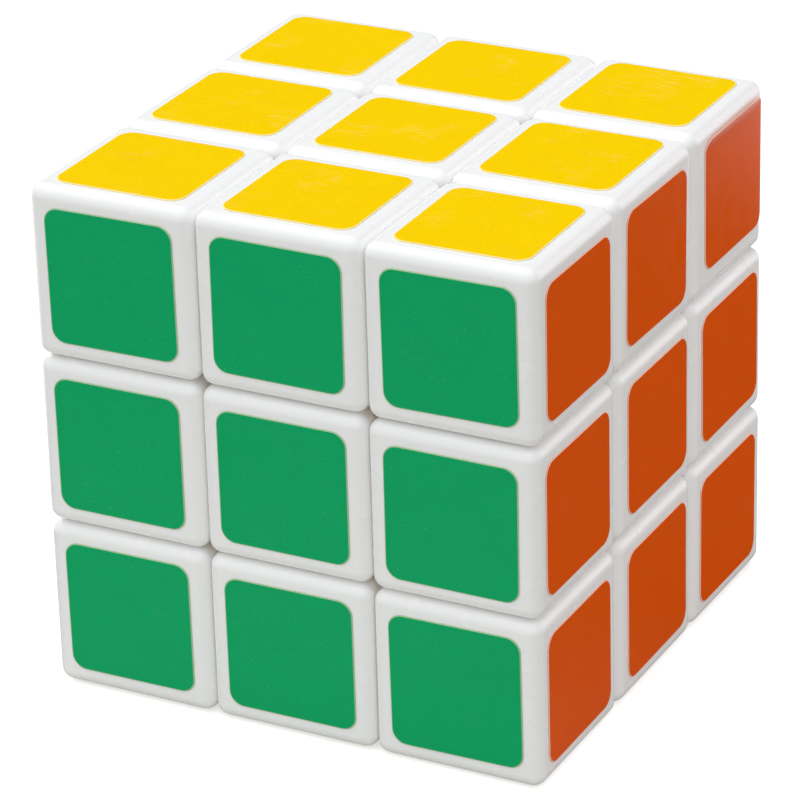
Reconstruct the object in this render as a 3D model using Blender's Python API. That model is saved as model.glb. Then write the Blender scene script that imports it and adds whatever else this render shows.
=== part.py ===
"""A twisty puzzle cube with three layers along each side, as the pieces that it comes apart into.

The cube's centre is the origin. +X is the right face, -Y the front face and +Z the top face. Every piece
turns about a line through the centre, so each one is modelled in place, with its origin at the centre.

Each kind of piece is modelled once: a centre with its cap, screw, washer and spring on +Z, an edge piece
between +X and +Z, and a corner piece between +X, +Y and +Z. The copies are turned to their places.

A ball-shaped track round the core separates the visible blocks from the feet that hold them. Outside it
the layers part at LAYER / 2 from the centre, and inside it, where the feet run, they part at FOOT_CUT.
"""

import math

import bmesh
import bpy
from mathutils import Matrix, Vector

MM = 0.001

# The cube and its layers.
CUBE = 57.0 * MM
LAYER = CUBE / 3
GAP = 0.3 * MM
EDGE_ROUND = 1.4 * MM
ROUND_SEGMENTS = 2
WALL = 1.6 * MM

# The feet and the track that they run in.
FOOT_CUT = 6.0 * MM
TRACK_RADIUS = 20.0 * MM
TRACK_GAP = 0.4 * MM
FOOT_DEPTH = 5.3 * MM
VENT_RADIUS = 1.3 * MM

# How finely the round shapes are divided. The track needs the finest, because the feet run close to it.
TRACK_SEGMENTS = 32
ROUGH_SEGMENTS = 16
SMALL_SEGMENTS = 12
SHARP_ANGLE = math.radians(35)

# The centres: a stem under the block, with a well for the spring and the screw's head.
CAP_THICKNESS = 2.8 * MM
STEM_RADIUS = 5.6 * MM
STEM_FLOOR = 2.5 * MM
WELL_RADIUS = 4.0 * MM
SCREW_HOLE_RADIUS = 1.6 * MM
PLUG_RADIUS = WELL_RADIUS - GAP
PLUG_LENGTH = 2.0 * MM

# The core: a ball with six arms, each with a blind hole for its screw.
CORE_RADIUS = 7.5 * MM
ARM_RADIUS = 4.3 * MM
ARM_LENGTH = 9.5 * MM
BLIND_END = 3.4 * MM

# The spring, washer and screw stand on the stem's floor, one after the other.
SPRING_RADIUS = 2.95 * MM
WIRE_RADIUS = 0.35 * MM
SPRING_TURNS = 4
SPRING_HEIGHT = 5.8 * MM
POINTS_PER_TURN = 10
WASHER_RADIUS = 3.5 * MM
WASHER_THICKNESS = 0.5 * MM
HEAD_RADIUS = 3.0 * MM
HEAD_HEIGHT = 1.8 * MM
HEAD_ROUND = 0.5 * MM
SHANK_RADIUS = 1.3 * MM
SHANK_END = 4.0 * MM
RECESS_LENGTH = 3.2 * MM
RECESS_WIDTH = 0.8 * MM
RECESS_DEPTH = 1.0 * MM

WHITE = (0.90, 0.91, 0.90)
CORE_GREY = (0.80, 0.81, 0.80)
STEEL = (0.56, 0.56, 0.57)

# Worked out from the values above.
HALF = CUBE / 2
OUTER_START = LAYER / 2 + GAP / 2
MIDDLE_HALF = LAYER / 2 - GAP / 2
FOOT_START = FOOT_CUT + GAP / 2
FOOT_HALF = FOOT_CUT - GAP / 2
FOOT_TOP = TRACK_RADIUS - TRACK_GAP / 2
TRACK_ROOF = TRACK_RADIUS + TRACK_GAP / 2
FOOT_BOTTOM = FOOT_TOP - FOOT_DEPTH
STEM_START = ARM_LENGTH + GAP
WELL_START = STEM_START + STEM_FLOOR
CAP_START = HALF - CAP_THICKNESS
BLOCK_TOP = CAP_START - GAP
SPRING_START = WELL_START + GAP
WASHER_START = SPRING_START + SPRING_HEIGHT + GAP
HEAD_START = WASHER_START + WASHER_THICKNESS + GAP
HEAD_TOP = HEAD_START + HEAD_HEIGHT

FACES = {
    "top": Vector((0, 0, 1)),
    "bottom": Vector((0, 0, -1)),
    "right": Vector((1, 0, 0)),
    "left": Vector((-1, 0, 0)),
    "front": Vector((0, -1, 0)),
    "back": Vector((0, 1, 0)),
}
# Each piece's name gives its faces in this order.
RANKS = (("top", "bottom"), ("front", "back"), ("right", "left"))


def clear_scene():
    for obj in list(bpy.data.objects):
        bpy.data.objects.remove(obj)


def mesh_from(bm):
    mesh = bpy.data.meshes.new("shape")
    bm.to_mesh(mesh)
    bm.free()
    return mesh


def box(low, high, rounded=None):
    """A box between two corners. `rounded` picks the edges to round, by their middle points."""
    bm = bmesh.new()
    bmesh.ops.create_cube(bm, size=1.0)
    low, high = Vector(low), Vector(high)
    bmesh.ops.scale(bm, vec=high - low, verts=bm.verts)
    bmesh.ops.translate(bm, vec=(low + high) / 2, verts=bm.verts)
    if rounded:
        edges = [e for e in bm.edges if rounded((e.verts[0].co + e.verts[1].co) / 2)]
        bmesh.ops.bevel(
            bm,
            geom=edges,
            offset=EDGE_ROUND,
            segments=ROUND_SEGMENTS,
            profile=0.5,
            affect="EDGES",
        )
    return mesh_from(bm)


def ball(radius, segments):
    bm = bmesh.new()
    bmesh.ops.create_uvsphere(bm, u_segments=segments, v_segments=segments // 2, radius=radius)
    return mesh_from(bm)


def turned(profile, segments):
    """A solid turned round +Z from (radius, height) points, going up its outside from the axis to the axis.

    A profile whose points all stand off the axis is a ring, closed back to its first point.
    """
    bm = bmesh.new()
    points = [bm.verts.new((radius, 0.0, height)) for radius, height in profile]
    edges = [bm.edges.new(pair) for pair in zip(points, points[1:])]
    if min(radius for radius, _ in profile) > 0.0:
        edges.append(bm.edges.new((points[-1], points[0])))
    bmesh.ops.spin(
        bm,
        geom=points + edges,
        cent=(0, 0, 0),
        axis=(0, 0, 1),
        angle=math.tau,
        steps=segments,
        use_merge=True,
    )
    bmesh.ops.remove_doubles(bm, verts=bm.verts, dist=0.001 * MM)
    bmesh.ops.recalc_face_normals(bm, faces=bm.faces)
    return mesh_from(bm)


def rod(radius, start, end, segments=ROUGH_SEGMENTS):
    return turned([(0.0, start), (radius, start), (radius, end), (0.0, end)], segments)


def combined(first, operation, *others):
    """The first mesh with each of the others joined to it (UNION), cut from it or kept in common."""
    for other in others:
        target = bpy.data.objects.new("target", first)
        tool = bpy.data.objects.new("tool", other)
        for obj in (target, tool):
            bpy.context.scene.collection.objects.link(obj)
        modifier = target.modifiers.new("combine", "BOOLEAN")
        modifier.operation = operation
        modifier.object = tool
        graph = bpy.context.evaluated_depsgraph_get()
        first = bpy.data.meshes.new_from_object(target.evaluated_get(graph))
        for obj in (target, tool):
            bpy.data.objects.remove(obj)
    return first


def turned_to(mesh, z_goes_to):
    """The mesh turned so that its +Z side faces another way."""
    turn = Vector((0, 0, 1)).rotation_difference(z_goes_to)
    mesh = mesh.copy()
    mesh.transform(turn.to_matrix().to_4x4())
    return mesh


def every_edge(_middle):
    return True


def upright_edge(middle):
    return abs(middle.x) > MIDDLE_HALF / 2 and abs(middle.y) > MIDDLE_HALF / 2


def lid_edge(middle):
    return upright_edge(middle) or middle.z > CAP_START + CAP_THICKNESS * 0.75


def foot(low, high):
    """The part of the ball-shaped shell under the track that lies between two corners of a box."""
    shell = combined(box(low, high), "INTERSECT", ball(FOOT_TOP, TRACK_SEGMENTS))
    return combined(shell, "DIFFERENCE", ball(FOOT_BOTTOM, TRACK_SEGMENTS))


def vent(direction):
    """A small hole from the hollow block to the inside of the foot."""
    hole = rod(VENT_RADIUS, FOOT_BOTTOM - WALL, TRACK_ROOF + 2 * WALL, SMALL_SEGMENTS)
    return turned_to(hole, direction)


def corner_mesh():
    block = box([OUTER_START] * 3, [HALF] * 3, every_edge)
    hollow = box([OUTER_START + WALL] * 3, [HALF - WALL] * 3)
    solid = combined(block, "UNION", foot([FOOT_START] * 3, [TRACK_RADIUS] * 3))
    return combined(solid, "DIFFERENCE", hollow, vent(Vector((1, 1, 1))))


def edge_mesh():
    low = Vector((OUTER_START, -MIDDLE_HALF, OUTER_START))
    high = Vector((HALF, MIDDLE_HALF, HALF))
    block = box(low, high, every_edge)

    # The neighbouring corners' feet pass under the block's two ends.
    under = box((0, -FOOT_HALF, 0), (HALF, FOOT_HALF, HALF))
    passage = combined(ball(TRACK_ROOF, TRACK_SEGMENTS), "DIFFERENCE", under)
    block = combined(block, "DIFFERENCE", passage)
    own_foot = foot((FOOT_START, -FOOT_HALF, FOOT_START), (TRACK_RADIUS, FOOT_HALF, TRACK_RADIUS))
    solid = combined(block, "UNION", own_foot)

    wall = Vector([WALL] * 3)
    kept = ball(TRACK_ROOF + WALL, ROUGH_SEGMENTS)
    hollow = combined(box(low + wall, high - wall), "DIFFERENCE", kept)
    return combined(solid, "DIFFERENCE", hollow, vent(Vector((1, 0, 1))))


def centre_mesh():
    low = (-MIDDLE_HALF, -MIDDLE_HALF, STEM_START)
    block = box(low, (MIDDLE_HALF, MIDDLE_HALF, BLOCK_TOP), upright_edge)
    block = combined(block, "DIFFERENCE", ball(TRACK_ROOF, TRACK_SEGMENTS))
    solid = combined(block, "UNION", rod(STEM_RADIUS, STEM_START, TRACK_ROOF + WALL))
    well = rod(WELL_RADIUS, WELL_START, HALF)
    screw_hole = rod(SCREW_HOLE_RADIUS, STEM_START - WALL, WELL_START + WALL, SMALL_SEGMENTS)
    return combined(solid, "DIFFERENCE", well, screw_hole)


def cap_mesh():
    low = (-MIDDLE_HALF, -MIDDLE_HALF, CAP_START)
    lid = box(low, (MIDDLE_HALF, MIDDLE_HALF, HALF), lid_edge)
    plug = rod(PLUG_RADIUS, CAP_START - PLUG_LENGTH, CAP_START + CAP_THICKNESS / 2)
    return combined(lid, "UNION", plug)


def screw_mesh():
    profile = [
        (0.0, SHANK_END),
        (SHANK_RADIUS * 0.5, SHANK_END),
        (SHANK_RADIUS, SHANK_END + SHANK_RADIUS),
        (SHANK_RADIUS, HEAD_START),
        (HEAD_RADIUS, HEAD_START),
        (HEAD_RADIUS, HEAD_TOP - HEAD_ROUND),
        (HEAD_RADIUS - HEAD_ROUND, HEAD_TOP),
        (0.0, HEAD_TOP),
    ]
    solid = turned(profile, SMALL_SEGMENTS)
    along, across = RECESS_LENGTH / 2, RECESS_WIDTH / 2
    floor = HEAD_TOP - RECESS_DEPTH
    slot = box((-along, -across, floor), (along, across, HALF))
    cross_slot = box((-across, -along, floor), (across, along, HALF))
    recess = combined(slot, "UNION", cross_slot)
    return combined(solid, "DIFFERENCE", recess)


def washer_mesh():
    top = WASHER_START + WASHER_THICKNESS
    profile = [
        (SCREW_HOLE_RADIUS, WASHER_START),
        (WASHER_RADIUS, WASHER_START),
        (WASHER_RADIUS, top),
        (SCREW_HOLE_RADIUS, top),
    ]
    return turned(profile, SMALL_SEGMENTS)


def spring_mesh():
    """A helix of wire. Its middle line stays a wire's radius inside each end of the spring's height."""
    curve = bpy.data.curves.new("wire", "CURVE")
    curve.dimensions = "3D"
    curve.bevel_depth = WIRE_RADIUS
    curve.bevel_resolution = 0
    curve.use_fill_caps = True
    steps = SPRING_TURNS * POINTS_PER_TURN
    spline = curve.splines.new("POLY")
    spline.points.add(steps)
    rise = SPRING_HEIGHT - 2 * WIRE_RADIUS
    for step, point in enumerate(spline.points):
        angle = math.tau * step / POINTS_PER_TURN
        height = SPRING_START + WIRE_RADIUS + rise * step / steps
        x, y = SPRING_RADIUS * math.cos(angle), SPRING_RADIUS * math.sin(angle)
        point.co = (x, y, height, 1.0)
    obj = bpy.data.objects.new("wire", curve)
    bpy.context.scene.collection.objects.link(obj)
    graph = bpy.context.evaluated_depsgraph_get()
    mesh = bpy.data.meshes.new_from_object(obj.evaluated_get(graph))
    bpy.data.objects.remove(obj)
    return mesh


def core_mesh():
    solid = ball(CORE_RADIUS, ROUGH_SEGMENTS)
    arm = rod(ARM_RADIUS, 0.0, ARM_LENGTH)
    hole = rod(SCREW_HOLE_RADIUS, BLIND_END, ARM_LENGTH + WALL, SMALL_SEGMENTS)
    solid = combined(solid, "UNION", *[turned_to(arm, way) for way in FACES.values()])
    return combined(solid, "DIFFERENCE", *[turned_to(hole, way) for way in FACES.values()])


def turn_between(x_way, z_way):
    """The rotation that takes +X and +Z to two faces that share an edge."""
    return Matrix((x_way, z_way.cross(x_way), z_way)).transposed().to_4x4()


def place(name, mesh, turn):
    obj = bpy.data.objects.new(name, mesh)
    obj.matrix_world = turn
    bpy.context.scene.collection.objects.link(obj)


def finished(mesh, material, color, roughness, metallic=0.0):
    """The mesh, shaded smooth, with a material of its own."""
    made = bpy.data.materials.new(material)
    made.use_nodes = True
    shader = made.node_tree.nodes["Principled BSDF"]
    shader.inputs["Base Color"].default_value = (*color, 1.0)
    shader.inputs["Roughness"].default_value = roughness
    shader.inputs["Metallic"].default_value = metallic
    mesh.materials.clear()
    mesh.materials.append(made)
    mesh.shade_smooth()
    mesh.set_sharp_from_angle(angle=SHARP_ANGLE)
    return mesh


def add_core():
    place("core", finished(core_mesh(), "core_plastic", CORE_GREY, 0.45), Matrix())


def add_centres():
    """Each face's centre with its cap, and the screw, washer and spring that hold it to the core."""
    kinds = {
        "centre": finished(centre_mesh(), "centre_plastic", WHITE, 0.25),
        "cap": finished(cap_mesh(), "cap_plastic", WHITE, 0.20),
        "screw": finished(screw_mesh(), "screw_steel", STEEL, 0.30, metallic=1.0),
        "washer": finished(washer_mesh(), "washer_steel", STEEL, 0.35, metallic=1.0),
        "spring": finished(spring_mesh(), "spring_steel", STEEL, 0.28, metallic=1.0),
    }
    for kind, mesh in kinds.items():
        for face, way in FACES.items():
            side = FACES["right"] if way.x == 0 else FACES["back"]
            place(f"{kind}_{face}", mesh, turn_between(side, way))


def add_edges():
    mesh = finished(edge_mesh(), "edge_plastic", WHITE, 0.25)
    for rank, later in ((0, 1), (0, 2), (1, 2)):
        for first in RANKS[rank]:
            for second in RANKS[later]:
                place(f"edge_{first}_{second}", mesh, turn_between(FACES[first], FACES[second]))


def add_corners():
    mesh = finished(corner_mesh(), "corner_plastic", WHITE, 0.25)
    for upper in RANKS[0]:
        for facing in RANKS[1]:
            for side in RANKS[2]:
                z_way, y_way, x_way = FACES[upper], FACES[facing], FACES[side]
                # The three faces in right-handed order, because the copies are never mirrored.
                if z_way.cross(x_way) != y_way:
                    x_way, y_way = y_way, x_way
                place(f"corner_{upper}_{facing}_{side}", mesh, turn_between(x_way, z_way))


def main():
    clear_scene()
    add_core()
    add_centres()
    add_edges()
    add_corners()


main()
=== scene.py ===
"""The looks of a twisty puzzle cube: glossy white plastic pieces with a vinyl sticker on each outer face.

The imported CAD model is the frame. Every block is built again here with finer rounding, in the same place
and with the same foot, and rides on its own CAD body. The 54 stickers are pieces of their own, each laid
over its block and down the start of the block's rounded edges. The sealed parts inside keep their CAD
meshes.

The cube stands on white paper in a white tent, with a lamp at each side.

A cell is a piece's place in the cube: (x, y, z), each -1, 0 or 1. +X is right, -Y is front, +Z is top.
"""

import math
import random

import bmesh
import bpy
from mathutils import Matrix, Vector


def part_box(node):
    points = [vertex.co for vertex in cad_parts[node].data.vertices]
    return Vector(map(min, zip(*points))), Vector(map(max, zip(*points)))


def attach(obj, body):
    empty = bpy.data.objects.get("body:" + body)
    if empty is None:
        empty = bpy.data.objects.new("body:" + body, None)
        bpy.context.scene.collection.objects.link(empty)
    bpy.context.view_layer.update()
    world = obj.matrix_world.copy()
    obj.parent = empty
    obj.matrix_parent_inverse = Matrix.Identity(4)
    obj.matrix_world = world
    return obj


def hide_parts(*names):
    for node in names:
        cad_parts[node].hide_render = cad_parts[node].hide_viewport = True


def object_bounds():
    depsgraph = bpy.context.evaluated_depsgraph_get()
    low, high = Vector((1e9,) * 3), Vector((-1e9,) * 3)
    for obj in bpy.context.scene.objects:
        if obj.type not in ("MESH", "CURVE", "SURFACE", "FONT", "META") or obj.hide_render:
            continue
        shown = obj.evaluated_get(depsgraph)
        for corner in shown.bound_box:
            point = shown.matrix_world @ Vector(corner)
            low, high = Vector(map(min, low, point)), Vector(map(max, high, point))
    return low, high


MM = 0.001

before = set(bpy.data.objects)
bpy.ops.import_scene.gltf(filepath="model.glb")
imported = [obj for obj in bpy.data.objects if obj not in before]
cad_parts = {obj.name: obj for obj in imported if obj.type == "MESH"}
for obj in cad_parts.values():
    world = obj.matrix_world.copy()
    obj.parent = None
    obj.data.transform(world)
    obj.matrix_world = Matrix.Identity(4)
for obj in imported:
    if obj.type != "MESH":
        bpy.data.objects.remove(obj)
cad_low, cad_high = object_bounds()

# Sizes read from the frame.
HALF = cad_high.x
LAYER = 2 * HALF / 3
MIDDLE_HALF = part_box("centre_top")[1].x
OUTER_START = LAYER - MIDDLE_HALF
FOOT_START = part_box("corner_top_back_right")[0].x
STEM_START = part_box("centre_top")[0].z
BLOCK_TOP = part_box("centre_top")[1].z
PLUG_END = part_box("cap_top")[0].z

# Sizes of the CAD that no box shows. The feet run in a ball-shaped track, so their tops and bottoms and the
# track's roof are distances from the cube's middle.
FOOT_HALF = 5.85 * MM
FOOT_TOP = 19.8 * MM
FOOT_BOTTOM = 14.5 * MM
TRACK_ROOF = 20.2 * MM
CAP_START = HALF - 2.8 * MM
WALL = 1.6 * MM
VENT_RADIUS = 1.3 * MM
STEM_RADIUS = 5.6 * MM
WELL_RADIUS = 4.0 * MM
WELL_START = STEM_START + 2.5 * MM
SCREW_HOLE_RADIUS = 1.6 * MM
PLUG_RADIUS = 3.7 * MM

# A box that reaches this far takes in a whole foot.
FOOT_REACH = 20.0 * MM

# How the blocks' visible shapes differ from the CAD: rounder edges, and inner sides that stand out by GROW,
# which leaves finer gaps between the layers.
EDGE_ROUND = 1.4 * MM
GROW = 0.06 * MM
ROUND_SEGMENTS = 6
BALL_SEGMENTS = 64
ROD_SEGMENTS = 48
HOLE_SEGMENTS = 24

# Edges where faces meet at more than these angles, in degrees, are shaded sharp.
BLOCK_CREASE = 35
STICKER_CREASE = 60

STICKER_HALF = 7.46 * MM
STICKER_CORNER = 1.6 * MM
STICKER_STEPS = 8
STICKER_THICKNESS = 0.13 * MM

# The film's section, from inside its underside round the cut edge to inside its top. Each point is how far
# in from the outline it is, and how high above the block.
UNDERSIDE = [(inset * MM, 0.01 * MM) for inset in (5.0, 0.6, 0.02)]
CUT_SIDE = [(0.0, 0.03 * MM), (0.0, 0.07 * MM), (0.03 * MM, 0.11 * MM), (0.10 * MM, STICKER_THICKNESS)]
TOP_SIDE = [(inset * MM, STICKER_THICKNESS) for inset in (0.25, 0.6, 1.0, 1.4, 3.5)]

# A sticker's two materials.
FILM, RIM = 0, 1

# The spread of how far the stickers lie off their middles, in millimetres, and off square, in degrees.
STICKER_SEED = 11
STICKER_SHIFT = 0.10
STICKER_TWIST = 0.35

# One sticker sits off its middle, towards the cube's back top corner, and its upper margin has lifted.
LOOSE_STICKER = "sticker_orange_tr"
LOOSE_SHIFT = Vector((0.85, 0.45)) * MM
LIFT_START = 5.9 * MM
LIFT = 0.35 * MM

# How far each layer stands from square, in degrees about its own axis. Larger turns would leave blocks in
# each other's way when another layer turns.
SETTLE = {"top": 0.24, "bottom": -0.08, "right": 0.24}

# The camera. Angles are in degrees, and the lens is in millimetres.
CAMERA_AIM = Vector((-0.7, -1.3, -1.9)) * MM
CAMERA_AZIMUTH = 27.84
CAMERA_ELEVATION = 24.93
CAMERA_DISTANCE = 449.6 * MM
CAMERA_ROLL = -1.63
CAMERA_LENS = 190.0
SENSOR_WIDTH = 36.0

# Each face: its outward axis, and the two directions that run across and up its stickers.
FACES = {
    "top": ((0, 0, 1), (1, 0, 0), (0, 1, 0)),
    "bottom": ((0, 0, -1), (1, 0, 0), (0, -1, 0)),
    "front": ((0, -1, 0), (1, 0, 0), (0, 0, 1)),
    "back": ((0, 1, 0), (-1, 0, 0), (0, 0, 1)),
    "right": ((1, 0, 0), (0, 1, 0), (0, 0, 1)),
    "left": ((-1, 0, 0), (0, -1, 0), (0, 0, 1)),
}

# How pale the scuffs on a face's stickers are, from 0 to 1. The other faces are nearly clean.
SCUFFS = {"top": 0.27}
FAINT_SCUFFS = 0.03

# The colour of each face's stickers: its name, the film's linear colour and the paler one of its cut edge,
# which is partly the film's backing and partly a painted highlight along the film's edges.
STICKERS = {
    "top": ("yellow", (1.0, 0.66, 0.0), (1.0, 0.84, 0.42)),
    "bottom": ("black", (0.012, 0.012, 0.013), (0.10, 0.10, 0.10)),
    "front": ("green", (0.004, 0.416, 0.142), (0.42, 0.60, 0.34)),
    "back": ("blue", (0.004, 0.060, 0.420), (0.20, 0.28, 0.55)),
    "right": ("orange", (0.850, 0.103, 0.001), (0.95, 0.58, 0.46)),
    "left": ("red", (0.560, 0.010, 0.012), (0.80, 0.35, 0.30)),
}

# The floor lies just below the lowest sticker, and reaches FLOOR_HALF metres to each side.
FLOOR_Z = -HALF - 0.23 * MM
FLOOR_HALF = 2.5

# The lamps are squares, LAMP_WIDTH across. Each has an azimuth, elevation, distance, radiance and colour.
LAMP_WIDTH = 0.5
LAMPS = {
    "left_back": (-118, 32, 0.9, 3.5, (1.0, 1.0, 1.0)),
    "right": (138, 12, 0.8, 2.0, (1.0, 0.86, 0.89)),
}


# ---- Cells ----------------------------------------------------------------------------------------------


def faces_of(cell):
    """The names of the faces that a cell's piece shows, in the order that the pieces' names use."""
    names = (("bottom", "top"), ("front", "back"), ("left", "right"))
    found = zip(names, (cell[2], cell[1], cell[0]))
    return [pair[side > 0] for pair, side in found if side]


def piece_name(cell):
    names = faces_of(cell)
    kind = ("centre", "edge", "corner")[len(names) - 1]
    return "_".join([kind, *names])


def axis_of(face):
    return Vector(FACES[face][0])


def settled(cell):
    """The small shift that a cell's piece stands at, because the layers don't stop exactly square."""
    middle = Vector(cell) * LAYER
    moved = middle.copy()
    for face in faces_of(cell):
        positive = Vector([abs(value) for value in axis_of(face)])
        moved = Matrix.Rotation(math.radians(SETTLE.get(face, 0.0)), 3, positive) @ moved
    return Matrix.Translation(moved - middle)


# ---- Mesh helpers ---------------------------------------------------------------------------------------


def mesh_from(bm, name):
    mesh = bpy.data.meshes.new(name)
    bm.to_mesh(mesh)
    bm.free()
    return mesh


def box(low, high, rounded=None):
    """A box between two corners. `rounded`, if given, says which edges to round, by their middle points."""
    bm = bmesh.new()
    bmesh.ops.create_cube(bm, size=1.0)
    low, high = Vector(low), Vector(high)
    bmesh.ops.scale(bm, vec=high - low, verts=bm.verts)
    bmesh.ops.translate(bm, vec=(low + high) / 2, verts=bm.verts)
    if rounded:
        edges = [e for e in bm.edges if rounded((e.verts[0].co + e.verts[1].co) / 2)]
        bmesh.ops.bevel(
            bm,
            geom=edges,
            offset=EDGE_ROUND,
            segments=ROUND_SEGMENTS,
            profile=0.5,
            affect="EDGES",
        )
    return mesh_from(bm, "box")


def ball(radius):
    bm = bmesh.new()
    bmesh.ops.create_uvsphere(
        bm, u_segments=BALL_SEGMENTS, v_segments=BALL_SEGMENTS // 2, radius=radius
    )
    return mesh_from(bm, "ball")


def rod(radius, start, end, segments=ROD_SEGMENTS):
    """A cylinder along Z, from one height to another."""
    bm = bmesh.new()
    middle = Matrix.Translation((0, 0, (start + end) / 2))
    bmesh.ops.create_cone(
        bm,
        cap_ends=True,
        segments=segments,
        radius1=radius,
        radius2=radius,
        depth=end - start,
        matrix=middle,
    )
    return mesh_from(bm, "rod")


def combined(first, operation, *others):
    """The first mesh with each of the others joined to it (UNION), cut from it or kept in common."""
    for other in others:
        target = bpy.data.objects.new("target", first)
        tool = bpy.data.objects.new("tool", other)
        for obj in (target, tool):
            bpy.context.scene.collection.objects.link(obj)
        modifier = target.modifiers.new("combine", "BOOLEAN")
        modifier.operation = operation
        modifier.object = tool
        graph = bpy.context.evaluated_depsgraph_get()
        first = bpy.data.meshes.new_from_object(target.evaluated_get(graph))
        for obj in (target, tool):
            bpy.data.objects.remove(obj)
    return first


def turned_to(mesh, way):
    """The mesh, turned so that its +Z runs the given way."""
    turn = Vector((0, 0, 1)).rotation_difference(way)
    mesh.transform(turn.to_matrix().to_4x4())
    return mesh


# ---- Blocks ---------------------------------------------------------------------------------------------
# Each kind is modelled once, about the cube's middle: a corner with its outer faces towards +X, +Y and +Z,
# an edge towards +X and +Z, and a centre and its cap towards +Z.


def upright_edge(middle):
    return abs(middle.x) > MIDDLE_HALF / 2 and abs(middle.y) > MIDDLE_HALF / 2


def lid_edge(middle):
    at_the_top = middle.z > (CAP_START + HALF) / 2
    return upright_edge(middle) or at_the_top


def any_edge(middle):
    return True


def foot(low, high):
    """The part of a box that lies in the feet's ball-shaped track."""
    shell = combined(box(low, high), "INTERSECT", ball(FOOT_TOP))
    return combined(shell, "DIFFERENCE", ball(FOOT_BOTTOM))


def vent(way):
    """The small hole through a foot into its hollow block."""
    through = rod(VENT_RADIUS, FOOT_BOTTOM - WALL, TRACK_ROOF + 2 * WALL, HOLE_SEGMENTS)
    return turned_to(through, way)


def corner_mesh():
    block = box([OUTER_START - GROW] * 3, [HALF] * 3, any_edge)
    solid = combined(block, "UNION", foot([FOOT_START] * 3, [FOOT_REACH] * 3))
    hollow = box([OUTER_START + WALL] * 3, [HALF - WALL] * 3)
    return combined(solid, "DIFFERENCE", hollow, vent(Vector((1, 1, 1))))


def edge_mesh():
    low = Vector((OUTER_START, -MIDDLE_HALF, OUTER_START))
    high = Vector((HALF, MIDDLE_HALF, HALF))
    grow = Vector((GROW, GROW, GROW))
    block = box(low - grow, high + Vector((0, GROW, 0)), any_edge)
    under = box((0, -FOOT_HALF, 0), (HALF, FOOT_HALF, HALF))
    passage = combined(ball(TRACK_ROOF), "DIFFERENCE", under)
    block = combined(block, "DIFFERENCE", passage)
    own_foot = foot((FOOT_START, -FOOT_HALF, FOOT_START), (FOOT_REACH, FOOT_HALF, FOOT_REACH))
    solid = combined(block, "UNION", own_foot)
    wall = Vector([WALL] * 3)
    hollow = combined(box(low + wall, high - wall), "DIFFERENCE", ball(TRACK_ROOF + WALL))
    return combined(solid, "DIFFERENCE", hollow, vent(Vector((1, 0, 1))))


def centre_mesh():
    side = MIDDLE_HALF + GROW
    block = box((-side, -side, STEM_START), (side, side, BLOCK_TOP), upright_edge)
    block = combined(block, "DIFFERENCE", ball(TRACK_ROOF))
    solid = combined(block, "UNION", rod(STEM_RADIUS, STEM_START, TRACK_ROOF + WALL))
    well = rod(WELL_RADIUS, WELL_START, HALF)
    screw_hole = rod(SCREW_HOLE_RADIUS, STEM_START - WALL, WELL_START + WALL, HOLE_SEGMENTS)
    return combined(solid, "DIFFERENCE", well, screw_hole)


def cap_mesh():
    side = MIDDLE_HALF + GROW
    lid = box((-side, -side, CAP_START), (side, side, HALF), lid_edge)
    return combined(lid, "UNION", rod(PLUG_RADIUS, PLUG_END, CAP_START + MM))


def shaded(mesh, material):
    """The mesh shaded smooth over its rounded edges and sharp where its faces meet at an angle."""
    mesh.materials.clear()
    mesh.materials.append(material)
    mesh.shade_smooth()
    mesh.set_sharp_from_angle(angle=math.radians(BLOCK_CREASE))
    return mesh


def add_piece(name, mesh, matrix, body, node=None):
    """Adds a piece that rides on a body and may stand for a CAD node."""
    obj = bpy.data.objects.new(name, mesh)
    obj.matrix_world = matrix
    bpy.context.scene.collection.objects.link(obj)
    weighted = obj.modifiers.new("even_flats", "WEIGHTED_NORMAL")
    weighted.keep_sharp = True
    weighted.weight = 100
    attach(obj, body)
    if node:
        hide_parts(node)


def turn_between(x_way, z_way):
    """The rotation that takes +X and +Z to two faces that share an edge."""
    return Matrix((x_way, z_way.cross(x_way), z_way)).transposed().to_4x4()


def place_of(cell):
    """The turn from where a kind of piece is modelled to a cell."""
    axes = [axis_of(face) for face in faces_of(cell)]
    if len(axes) == 1:
        side = Vector((1, 0, 0)) if axes[0].x == 0 else Vector((0, 1, 0))
        return turn_between(side, axes[0])
    if len(axes) == 2:
        return turn_between(*axes)
    z_way, y_way, x_way = axes
    if z_way.cross(x_way) != y_way:
        x_way, y_way = y_way, x_way
    return turn_between(x_way, z_way)


def cells():
    steps = (-1, 0, 1)
    every = [(x, y, z) for z in steps for y in steps for x in steps]
    return [cell for cell in every if any(cell)]


def add_blocks():
    white = white_plastic("white_plastic")
    meshes = {
        "corner": shaded(corner_mesh(), white),
        "edge": shaded(edge_mesh(), white),
        "centre": shaded(centre_mesh(), white),
    }
    cap = shaded(cap_mesh(), white)
    for cell in cells():
        name = piece_name(cell)
        kind = name.split("_")[0]
        matrix = settled(cell) @ place_of(cell)
        add_piece(f"{name}_block", meshes[kind], matrix, name, name)
        if kind == "centre":
            cap_name = name.replace("centre", "cap")
            add_piece(f"{cap_name}_lid", cap, matrix, name, cap_name)


# ---- Stickers -------------------------------------------------------------------------------------------


def sticker_outline():
    """Points round the sticker's edge: STICKER_STEPS of them along each side and round each corner."""
    straight = STICKER_HALF - STICKER_CORNER
    parts = [i / STICKER_STEPS for i in range(STICKER_STEPS)]
    side = [Vector((STICKER_HALF, (2 * part - 1) * straight)) for part in parts]
    angles = [math.radians(90 * part) for part in parts]
    ways = [Vector((math.cos(angle), math.sin(angle))) for angle in angles]
    arc = [Vector((straight, straight)) + STICKER_CORNER * way for way in ways]
    quarters = [Matrix.Rotation(math.radians(90 * turn), 2) for turn in range(4)]
    return [quarter @ point for quarter in quarters for point in side + arc]


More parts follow.
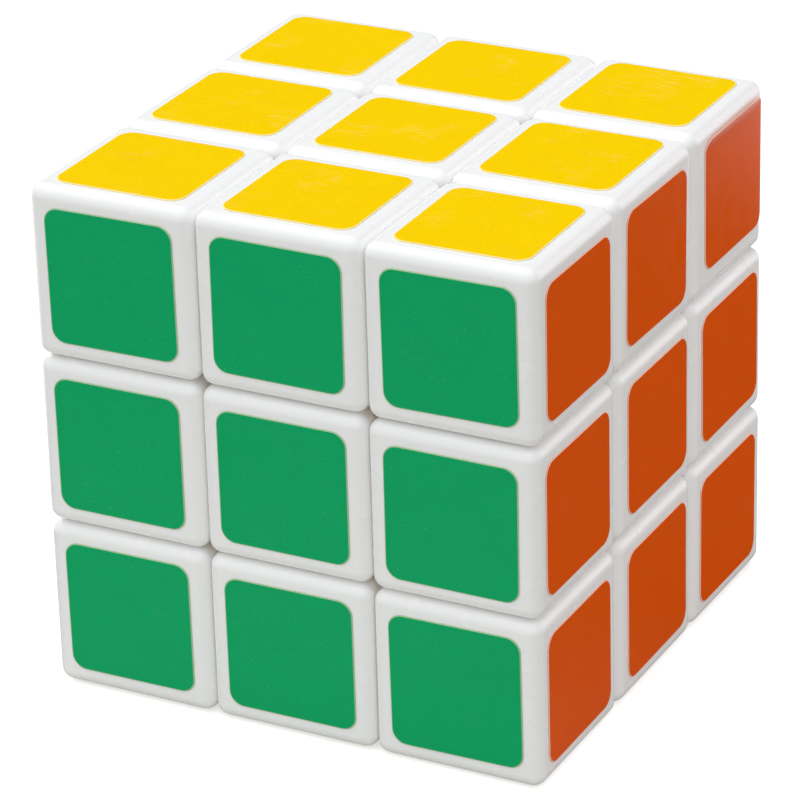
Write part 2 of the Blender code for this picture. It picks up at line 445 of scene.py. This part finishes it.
def block_height(x, y, half_x, half_y):
    """The height of the block's face at a point: 0 on its flat middle, and less over its rounded edges."""
    out_x = max(abs(x) - (half_x - EDGE_ROUND), 0.0)
    out_y = max(abs(y) - (half_y - EDGE_ROUND), 0.0)
    return math.sqrt(max(EDGE_ROUND**2 - out_x**2 - out_y**2, 0.0)) - EDGE_ROUND


def sticker_mesh(name, shift, twist, lift, half_x, half_y, film, rim):
    """A thin sheet with a rounded outline, laid on its block with a small shift and twist.

    `lift` is how far its upper margin stands off the block, whose face is 2 * half_x by 2 * half_y.
    """
    outline = sticker_outline()
    turn = Matrix.Rotation(math.radians(twist), 2)
    bm = bmesh.new()

    def ring(inset, height):
        made = []
        for edge_point in outline:
            point = edge_point * (1 - inset / STICKER_HALF)
            at = turn @ point + shift
            lie = block_height(at.x, at.y, half_x, half_y)
            margin = (point.y - LIFT_START) / (STICKER_HALF - LIFT_START)
            lie += lift * max(margin, 0.0) ** 2
            made.append(bm.verts.new((at.x, at.y, lie + height)))
        return made

    rings = [ring(inset, height) for inset, height in UNDERSIDE + CUT_SIDE + TOP_SIDE]
    film_start = len(UNDERSIDE + CUT_SIDE) - 1
    count = len(outline)
    for index, (low, high) in enumerate(zip(rings, rings[1:])):
        for i in range(count):
            j = (i + 1) % count
            face = bm.faces.new((low[i], low[j], high[j], high[i]))
            face.material_index = FILM if index >= film_start else RIM
    bm.faces.new(rings[0][::-1]).material_index = RIM
    bm.faces.new(rings[-1]).material_index = FILM
    mesh = mesh_from(bm, name)
    mesh.materials.append(film)
    mesh.materials.append(rim)
    mesh.shade_smooth()
    mesh.set_sharp_from_angle(angle=math.radians(STICKER_CREASE))
    return mesh


def add_stickers():
    """Nine stickers on each face, named by colour, row (t, c, b) and column (l, c, r)."""
    draw = random.Random(STICKER_SEED)
    for face, (color_name, color, edge) in STICKERS.items():
        film = vinyl(f"{color_name}_vinyl", color, SCUFFS.get(face, FAINT_SCUFFS))
        # The rim's pale colour is partly the film's backing and partly a painted highlight along its edges.
        rim = cut_edge_and_highlight(f"{color_name}_vinyl_edge", edge)
        normal, across, up = (Vector(way) for way in FACES[face])
        for row in (1, 0, -1):
            for column in (-1, 0, 1):
                cell = tuple(round(v) for v in normal + across * column + up * row)
                middle, half = zip(*(layer_span(step) for step in (column, row)))
                shift = Vector((draw.gauss(0, STICKER_SHIFT), draw.gauss(0, STICKER_SHIFT))) * MM
                twist = draw.gauss(0, STICKER_TWIST)
                name = f"sticker_{color_name}_{'tcb'[1 - row]}{'lcr'[column + 1]}"
                loose = name == LOOSE_STICKER
                if loose:
                    shift += LOOSE_SHIFT
                mesh = sticker_mesh(name, shift, twist, LIFT if loose else 0.0, *half, film, rim)
                place = Matrix((across, up, normal)).transposed().to_4x4()
                place.translation = across * middle[0] + up * middle[1] + normal * HALF
                matrix = settled(cell) @ place
                add_piece(name, mesh, matrix, piece_name(cell))


def layer_span(step):
    """The middle and half the width of the blocks in the layer at one step (-1, 0 or 1) from the middle."""
    if step == 0:
        return 0.0, MIDDLE_HALF
    return step * (OUTER_START + HALF) / 2, (HALF - OUTER_START) / 2


# ---- Materials ------------------------------------------------------------------------------------------


class Nodes:
    """The node tree of a material or a world, with the few kinds of node that the looks here need."""

    def __init__(self, owner, shader):
        owner.use_nodes = True
        self.owner = owner
        self.tree = owner.node_tree
        self.shader = self.tree.nodes[shader]

    def add(self, kind, **settings):
        node = self.tree.nodes.new(kind)
        for key, value in settings.items():
            setattr(node, key, value)
        return node

    def link(self, source, target):
        self.tree.links.new(source, target)

    def put(self, node, **values):
        for key, value in values.items():
            socket = node.inputs[key.replace("_", " ")]
            if isinstance(value, bpy.types.NodeSocket):
                self.link(value, socket)
            else:
                socket.default_value = value

    def coordinates(self):
        """Places in the piece, moved by a number of the piece's own so that no two look alike."""
        where = self.add("ShaderNodeTexCoord")
        info = self.add("ShaderNodeObjectInfo")
        offset = self.add("ShaderNodeVectorMath", operation="ADD")
        self.link(where.outputs["Object"], offset.inputs[0])
        self.link(info.outputs["Random"], offset.inputs[1])
        return offset.outputs["Vector"]

    def noise(self, where, size, detail=2.0):
        """Noise whose features are about `size` metres across."""
        node = self.add("ShaderNodeTexNoise")
        self.put(node, Vector=where, Scale=1.0 / size, Detail=detail)
        return node.outputs["Fac"]

    def ramp(self, value, low, high, start=0.3, end=0.7, **settings):
        """Goes from `low` to `high` as the value goes from `start` to `end`, and no further."""
        node = self.add("ShaderNodeMapRange", **settings)
        self.put(node, Value=value)
        node.inputs["From Min"].default_value = start
        node.inputs["From Max"].default_value = end
        node.inputs["To Min"].default_value = low
        node.inputs["To Max"].default_value = high
        return node.outputs["Result"]

    def depth(self, start, end):
        """Goes from 0 to 1 with the depth below the cube's outer faces.

        Every block is modelled with those faces towards +X, +Y or +Z, so its largest coordinate tells.
        """
        split = self.add("ShaderNodeSeparateXYZ")
        self.link(self.add("ShaderNodeTexCoord").outputs["Object"], split.inputs[0])
        outermost = self.calculate("MAXIMUM", split.outputs["X"], split.outputs["Y"])
        outermost = self.calculate("MAXIMUM", outermost, split.outputs["Z"])
        return self.ramp(outermost, 1.0, 0.0, HALF - end, HALF - start)

    def stretched(self, where, along):
        """The same places, drawn out along X, so that a pattern on them turns into lines."""
        node = self.add("ShaderNodeVectorMath", operation="MULTIPLY")
        self.link(where, node.inputs[0])
        node.inputs[1].default_value = (along, 1.0, 1.0)
        return node.outputs["Vector"]

    def toward(self, where, way):
        """How far a place lies along a direction."""
        node = self.add("ShaderNodeVectorMath", operation="DOT_PRODUCT")
        self.link(where, node.inputs[0])
        node.inputs[1].default_value = way
        return node.outputs["Value"]

    def calculate(self, operation, first, second):
        node = self.add("ShaderNodeMath", operation=operation)
        self.link(first, node.inputs[0])
        self.link(second, node.inputs[1])
        return node.outputs["Value"]

    def mix(self, factor, first, second):
        """A blend of two colours. This node's sockets go by number, because several share a name."""
        node = self.add("ShaderNodeMix", data_type="RGBA")
        for socket, value in ((node.inputs[0], factor), (node.inputs[6], first), (node.inputs[7], second)):
            if isinstance(value, bpy.types.NodeSocket):
                self.link(value, socket)
            elif isinstance(value, tuple):
                socket.default_value = (*value, 1.0)
            else:
                socket.default_value = value
        return node.outputs[2]

    def bump(self, height, strength, distance, under=None):
        node = self.add("ShaderNodeBump")
        self.put(node, Height=height, Strength=strength, Distance=distance)
        if under:
            self.link(under, node.inputs["Normal"])
        return node.outputs["Normal"]


def new_material(name):
    return Nodes(bpy.data.materials.new(name), "Principled BSDF")


def scaled(color, factor):
    return tuple(min(value * factor, 1.0) for value in color)


def white_plastic(name):
    """Glossy moulded plastic with faint flow marks and an orange-peel skin, with painted light down in the
    gaps: paler and warmer there, as light through the plastic would show.
    """
    nodes = new_material(name)
    where = nodes.coordinates()
    flow = nodes.ramp(nodes.noise(where, 8 * MM, 2.0), 0.0, 1.0)
    color = nodes.mix(flow, (0.944, 0.947, 0.949), (0.951, 0.951, 0.948))
    # Painted light: deep in the gaps the colour turns paler and warmer, standing in for light that comes
    # through the plastic.
    color = nodes.mix(nodes.depth(1.0 * MM, 2.2 * MM), color, (1.0, 0.975, 0.93))
    rough = nodes.ramp(nodes.noise(where, 4 * MM, 1.0), 0.24, 0.28)
    normal = nodes.bump(nodes.noise(where, 5 * MM, 1.0), 0.3, 0.01 * MM)
    normal = nodes.bump(nodes.noise(where, 0.5 * MM, 1.0), 0.2, 0.001 * MM, normal)
    nodes.put(nodes.shader, Base_Color=color, Roughness=rough, Normal=normal)
    return nodes.owner


def vinyl(name, color, scuffed):
    """Printed vinyl film: an even colour with fine grain, specks of dust and patches of fine light scuffs.

    `scuffed` is how pale the scuffs are, from 0 to 1.
    """
    nodes = new_material(name)
    where = nodes.coordinates()
    mottle = nodes.ramp(nodes.noise(where, 4 * MM, 3.0), 0.0, 1.0)
    tone = nodes.mix(mottle, scaled(color, 0.98), scaled(color, 1.03))
    grain = nodes.ramp(nodes.noise(where, 0.22 * MM, 2.0), 0.0, 1.0)
    tone = nodes.mix(grain, tone, scaled(color, 0.92))
    pale = tuple(0.6 * value + 0.4 for value in color)
    patches = nodes.ramp(nodes.noise(where, 6 * MM, 1.0), 0.0, scuffed, 0.55, 0.70)
    lines = nodes.ramp(nodes.noise(nodes.stretched(where, 0.1), 0.2 * MM, 1.0), 0.0, 1.0, 0.55, 0.75)
    scuffs = nodes.calculate("MULTIPLY", patches, lines)
    tone = nodes.mix(scuffs, tone, pale)
    specks = nodes.ramp(nodes.noise(where, 0.16 * MM, 0.0), 0.0, 0.35, 0.82, 0.88)
    tone = nodes.mix(specks, tone, pale)
    rough = nodes.ramp(nodes.noise(where, 2.2 * MM, 3.0), 0.16, 0.26)
    normal = nodes.bump(nodes.noise(where, 4 * MM, 1.0), 0.4, 0.015 * MM)
    normal = nodes.bump(nodes.noise(where, 0.3 * MM, 2.0), 0.2, 0.001 * MM, normal)
    nodes.put(nodes.shader, Base_Color=tone, Roughness=rough, Normal=normal, Specular_IOR_Level=0.12)
    return nodes.owner


def cut_edge_and_highlight(name, color):
    """The film's cut side, where its pale backing shows. Its pale colour is also a painted highlight along
    the film's edges.
    """
    nodes = new_material(name)
    where = nodes.coordinates()
    tone = nodes.mix(nodes.noise(where, 0.5 * MM), scaled(color, 0.9), scaled(color, 1.05))
    nodes.put(nodes.shader, Base_Color=tone, Roughness=0.45)
    return nodes.owner


def steel(name, tone, rough):
    """Drawn or turned steel, uneven in tone and gloss."""
    nodes = new_material(name)
    where = nodes.coordinates()
    shade = nodes.mix(nodes.noise(where, 0.8 * MM, 3.0), scaled(tone, 0.85), scaled(tone, 1.1))
    varied = nodes.ramp(nodes.noise(where, 0.3 * MM, 3.0), rough * 0.8, rough * 1.25)
    normal = nodes.bump(nodes.noise(where, 0.12 * MM, 2.0), 0.15, 0.003 * MM)
    nodes.put(nodes.shader, Base_Color=shade, Roughness=varied, Normal=normal, Metallic=1.0)
    return nodes.owner


def core_plastic(name):
    """The core's plastic, duller than the blocks'."""
    nodes = new_material(name)
    where = nodes.coordinates()
    color = nodes.mix(nodes.noise(where, 4 * MM, 3.0), (0.76, 0.77, 0.76), (0.82, 0.82, 0.80))
    rough = nodes.ramp(nodes.noise(where, 1.0 * MM, 3.0), 0.38, 0.52)
    normal = nodes.bump(nodes.noise(where, 0.25 * MM, 2.0), 0.3, 0.01 * MM)
    nodes.put(nodes.shader, Base_Color=color, Roughness=rough, Normal=normal)
    return nodes.owner


def finish_inner_parts():
    """The sealed inner parts keep their CAD shapes, with better materials."""
    materials = {
        "core": core_plastic("core_plastic_finish"),
        "screw": steel("screw_steel_finish", (0.56, 0.56, 0.57), 0.28),
        "washer": steel("washer_steel_finish", (0.62, 0.62, 0.63), 0.34),
        "spring": steel("spring_steel_finish", (0.50, 0.50, 0.51), 0.26),
    }
    for name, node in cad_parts.items():
        kind = name.split("_")[0]
        if kind in materials:
            for slot in node.material_slots:
                slot.material = materials[kind]


# ---- Stage ----------------------------------------------------------------------------------------------


def add_floor():
    bm = bmesh.new()
    bmesh.ops.create_grid(bm, x_segments=2, y_segments=2, size=FLOOR_HALF)
    floor = bpy.data.objects.new("floor", mesh_from(bm, "floor"))
    floor.location.z = FLOOR_Z
    bpy.context.scene.collection.objects.link(floor)
    floor.data.materials.append(floor_paper())


def floor_paper():
    """White paper that also glows, most of all near the cube, so that it shows as an even white.

    Plain white paper would light the cube too strongly from below and show in its gloss. So to diffuse rays
    it is a warm grey. To glossy rays it is dark, a little less so near the cube and towards the front left,
    and white to the back left beyond the cube.
    """
    nodes = new_material("pale_floor")
    where = nodes.add("ShaderNodeNewGeometry").outputs["Position"]
    length = nodes.add("ShaderNodeVectorMath", operation="LENGTH")
    nodes.link(where, length.inputs[0])
    distance = length.outputs["Value"]
    near = nodes.ramp(distance, 0.32, 0.14, 1.2 * HALF, 5 * HALF)
    glow = nodes.ramp(distance, 0.40, 0.06, 1.5 * HALF, 6 * HALF)
    front = nodes.ramp(nodes.toward(where, direction(-30, 0)), 0.03, 1.0, -HALF, 1.5 * HALF)
    behind = nodes.ramp(nodes.toward(where, direction(-135, 0)), 0.0, 1.0, 1.33 * HALF, 2.2 * HALF)
    dim = nodes.calculate("MAXIMUM", nodes.calculate("MULTIPLY", near, front), behind)
    shade = nodes.add("ShaderNodeCombineColor")
    nodes.put(shade, Red=dim, Green=dim, Blue=dim)
    ray = nodes.add("ShaderNodeLightPath")
    color = nodes.mix(ray.outputs["Is Diffuse Ray"], (0.97, 0.97, 0.97), (0.46, 0.445, 0.41))
    color = nodes.mix(ray.outputs["Is Glossy Ray"], color, shade.outputs["Color"])
    nodes.put(nodes.shader, Base_Color=color, Emission_Color=color, Emission_Strength=glow)
    nodes.put(nodes.shader, Roughness=0.9, Specular_IOR_Level=0.0)
    return nodes.owner


def add_lamp(name, azimuth, elevation, distance, radiance, color):
    """A square soft light that faces the cube."""
    data = bpy.data.lights.new(name, "AREA")
    data.shape = "SQUARE"
    data.size = LAMP_WIDTH
    data.energy = radiance * math.pi * LAMP_WIDTH**2
    data.color = color
    lamp = bpy.data.objects.new(name, data)
    lamp.location = direction(azimuth, elevation) * distance
    lamp.rotation_mode = "QUATERNION"
    lamp.rotation_quaternion = lamp.location.to_track_quat("Z", "Y")
    bpy.context.scene.collection.objects.link(lamp)


def direction(azimuth, elevation):
    """The way from the cube to a place round it. Azimuth 0 is in front of the cube and 90 to its right."""
    a, e = math.radians(azimuth), math.radians(elevation)
    return Vector((math.sin(a) * math.cos(e), -math.cos(a) * math.cos(e), math.sin(e)))


def add_tent():
    """A white tent round the stage, brightest overhead, weaker towards the front and dark behind.

    The light of each part grows with the cosine of the angle between a direction and the part's middle. The
    camera itself sees the whole tent white.
    """
    world = Nodes(bpy.data.worlds.new("tent"), "Background")
    where = world.add("ShaderNodeTexCoord").outputs["Generated"]
    up = world.toward(where, (0, 0, 1))
    overhead = world.ramp(up, 0.02, 1.09, 0.52, 0.90, interpolation_type="SMOOTHSTEP")
    ahead = world.toward(where, direction(0, 10))
    front = world.ramp(ahead, 0.0, 0.72, -0.4, 0.6, interpolation_type="SMOOTHSTEP")
    light = world.calculate("ADD", overhead, front)
    seen = world.add("ShaderNodeLightPath").outputs["Is Camera Ray"]
    strength = world.calculate("MAXIMUM", light, seen)
    world.put(world.shader, Strength=strength, Color=(0.98, 1.0, 1.01, 1.0))
    bpy.context.scene.world = world.owner


def add_camera():
    data = bpy.data.cameras.new("camera")
    data.lens = CAMERA_LENS
    data.sensor_width = SENSOR_WIDTH
    data.clip_start = 10 * MM
    data.clip_end = 10.0
    camera = bpy.data.objects.new("camera", data)
    back = direction(CAMERA_AZIMUTH, CAMERA_ELEVATION)
    camera.location = CAMERA_AIM + back * CAMERA_DISTANCE
    roll = Matrix.Rotation(math.radians(CAMERA_ROLL), 4, "Z").to_quaternion()
    camera.rotation_mode = "QUATERNION"
    camera.rotation_quaternion = back.to_track_quat("Z", "Y") @ roll
    bpy.context.scene.collection.objects.link(camera)
    bpy.context.scene.camera = camera


bpy.context.scene.view_settings.view_transform = "Standard"
# Light reaches the bottoms of the narrow gaps only after many bounces.
bpy.context.scene.cycles.diffuse_bounces = 12
add_camera()
add_tent()
for lamp_name, lamp in LAMPS.items():
    add_lamp(lamp_name, *lamp)
add_floor()
add_blocks()
add_stickers()
finish_inner_parts()
